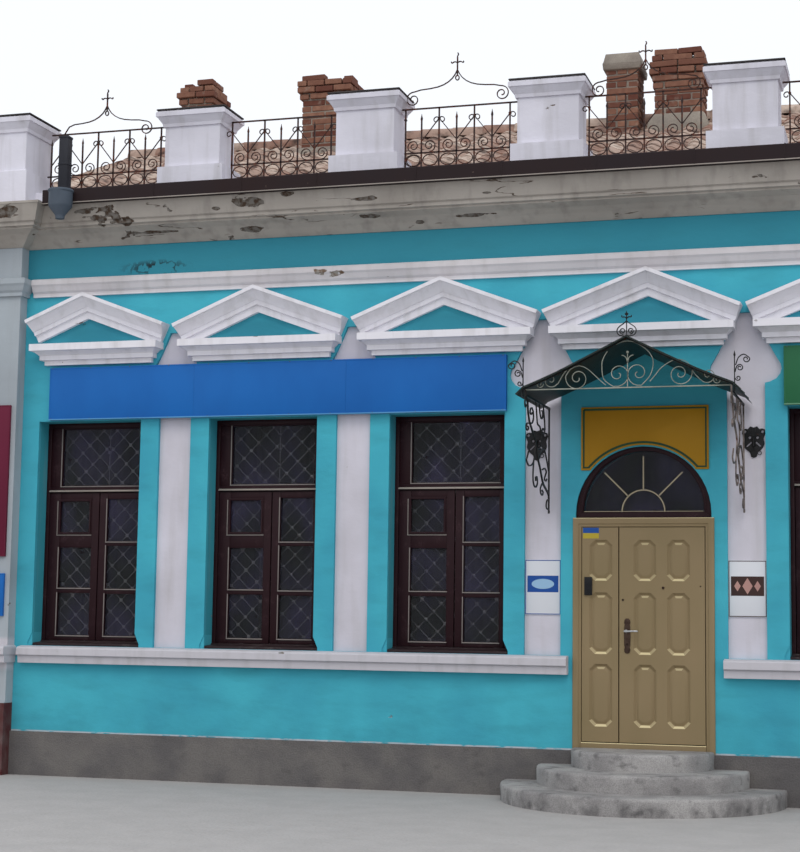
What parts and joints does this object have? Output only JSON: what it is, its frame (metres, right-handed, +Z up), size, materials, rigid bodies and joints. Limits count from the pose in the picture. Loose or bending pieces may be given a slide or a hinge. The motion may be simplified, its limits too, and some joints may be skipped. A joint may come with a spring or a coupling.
{
  "type": "single-storey museum building",
  "caption": "Low street-front building with a plastered classical facade, hinged casement windows, double entrance door with canopy, railed parapet and tiled gable roof.",
  "frame": {"origin": "centre of the footprint's bounding box, at pavement level", "axes": "+X along the street front to the viewer's right, +Y from the street into the building, +Z up"},
  "size_m": [10.2, 9.22, 7.95],
  "materials": {
    "plaster_white": "white and lilac limewashed plaster, stained and flaking",
    "plaster_turquoise": "turquoise painted plaster, matt",
    "plaster_grey": "plain grey render",
    "plinth_stone": "rough brown-grey plinth render",
    "step_concrete": "worn stained concrete",
    "frame_timber": "dark maroon paint, semi-gloss, worn",
    "door_steel": "khaki enamel, satin",
    "window_glass": "old clear glass, slightly dusty",
    "sign_blue": "blue paint, satin, blank",
    "sign_green": "green paint, satin, blank",
    "sign_ochre": "ochre paint, satin, blank",
    "plaque_white": "white plastic plaque, blank",
    "iron_black": "black painted iron, dull",
    "iron_rusty": "wrought iron with brown rust",
    "gutter_brown": "dark brown paint, weathered",
    "zinc_grey": "grey-blue sheet metal, dull",
    "brick": "old red-brown brick with worn joints",
    "roof_tile": "pinkish terracotta tiles, weathered",
    "lever_steel": "satin steel",
    "plastic_black": "black plastic"
  },
  "bodies": {
    "building": {"foundation": "plinth_stone", "steps": "step_concrete", "front_wall": "plaster_white", "ceiling": "plaster_white", "cornice": "plaster_white", "pilaster_left": "plaster_white", "pilaster_right": "plaster_white", "string_course": "plaster_white", "parapet": "plaster_white", "front_facing": "plaster_turquoise", "side_wall_left": "plaster_grey", "side_wall_right": "plaster_grey", "back_wall": "plaster_grey", "roof": "roof_tile", "chimney_1": "brick", "chimney_2": "brick", "chimney_3": "brick", "chimney_4": "brick", "gutter": "gutter_brown", "railing_1": "iron_rusty", "railing_2": "iron_rusty", "railing_3": "iron_rusty", "railing_4": "iron_rusty", "railing_5": "iron_rusty", "window_1_frame": "frame_timber", "window_2_frame": "frame_timber", "window_3_frame": "frame_timber", "window_4_frame": "frame_timber", "door_frame": "door_steel", "fanlight_frame": "frame_timber", "fascia_board_left": "sign_blue", "fascia_board_right": "sign_green", "arch_board": "sign_ochre", "plaque_left": "plaque_white", "plaque_right": "plaque_white", "canopy_roof": "iron_black", "canopy_frame": "iron_black", "lion_mask_left": "iron_black", "lion_mask_right": "iron_black", "rain_hopper": "zinc_grey"},
    "door_narrow": {"door_leaf_narrow": "door_steel", "lock_box": "plastic_black"},
    "door_wide": {"door_leaf_wide": "door_steel", "door_handle": "lever_steel"},
    "window_1_left": {"window_1_left_sash": "frame_timber", "window_1_left_sash_glass": "window_glass"},
    "window_1_right": {"window_1_right_sash": "frame_timber", "window_1_right_sash_glass": "window_glass"},
    "window_2_left": {"window_2_left_sash": "frame_timber", "window_2_left_sash_glass": "window_glass"},
    "window_2_right": {"window_2_right_sash": "frame_timber", "window_2_right_sash_glass": "window_glass"},
    "window_3_left": {"window_3_left_sash": "frame_timber", "window_3_left_sash_glass": "window_glass"},
    "window_3_right": {"window_3_right_sash": "frame_timber", "window_3_right_sash_glass": "window_glass"},
    "window_4_left": {"window_4_left_sash": "frame_timber", "window_4_left_sash_glass": "window_glass"},
    "window_4_right": {"window_4_right_sash": "frame_timber", "window_4_right_sash_glass": "window_glass"}
  },
  "joints": [
    {"name": "door_narrow_hinge", "type": "hinge", "parent": "building", "child": "door_narrow", "pos_m": [1.293, -3.206, 1.48], "axis": [0, 0, -1], "range_deg": [0, 100]},
    {"name": "door_wide_hinge", "type": "hinge", "parent": "building", "child": "door_wide", "pos_m": [2.407, -3.206, 1.48], "axis": [0, 0, 1], "range_deg": [0, 100]},
    {"name": "window_1_left_hinge", "type": "hinge", "parent": "building", "child": "window_1_left", "pos_m": [-4.217, -2.994, 2.06], "axis": [0, 0, -1], "range_deg": [0, 88]},
    {"name": "window_1_right_hinge", "type": "hinge", "parent": "building", "child": "window_1_right", "pos_m": [-3.183, -2.994, 2.06], "axis": [0, 0, 1], "range_deg": [0, 88]},
    {"name": "window_2_left_hinge", "type": "hinge", "parent": "building", "child": "window_2_left", "pos_m": [-2.367, -2.994, 2.06], "axis": [0, 0, -1], "range_deg": [0, 88]},
    {"name": "window_2_right_hinge", "type": "hinge", "parent": "building", "child": "window_2_right", "pos_m": [-1.333, -2.994, 2.06], "axis": [0, 0, 1], "range_deg": [0, 88]},
    {"name": "window_3_left_hinge", "type": "hinge", "parent": "building", "child": "window_3_left", "pos_m": [-0.517, -2.994, 2.06], "axis": [0, 0, -1], "range_deg": [0, 88]},
    {"name": "window_3_right_hinge", "type": "hinge", "parent": "building", "child": "window_3_right", "pos_m": [0.517, -2.994, 2.06], "axis": [0, 0, 1], "range_deg": [0, 88]},
    {"name": "window_4_left_hinge", "type": "hinge", "parent": "building", "child": "window_4_left", "pos_m": [3.183, -2.994, 2.06], "axis": [0, 0, -1], "range_deg": [0, 88]},
    {"name": "window_4_right_hinge", "type": "hinge", "parent": "building", "child": "window_4_right", "pos_m": [4.217, -2.994, 2.06], "axis": [0, 0, 1], "range_deg": [0, 88]}
  ]
}
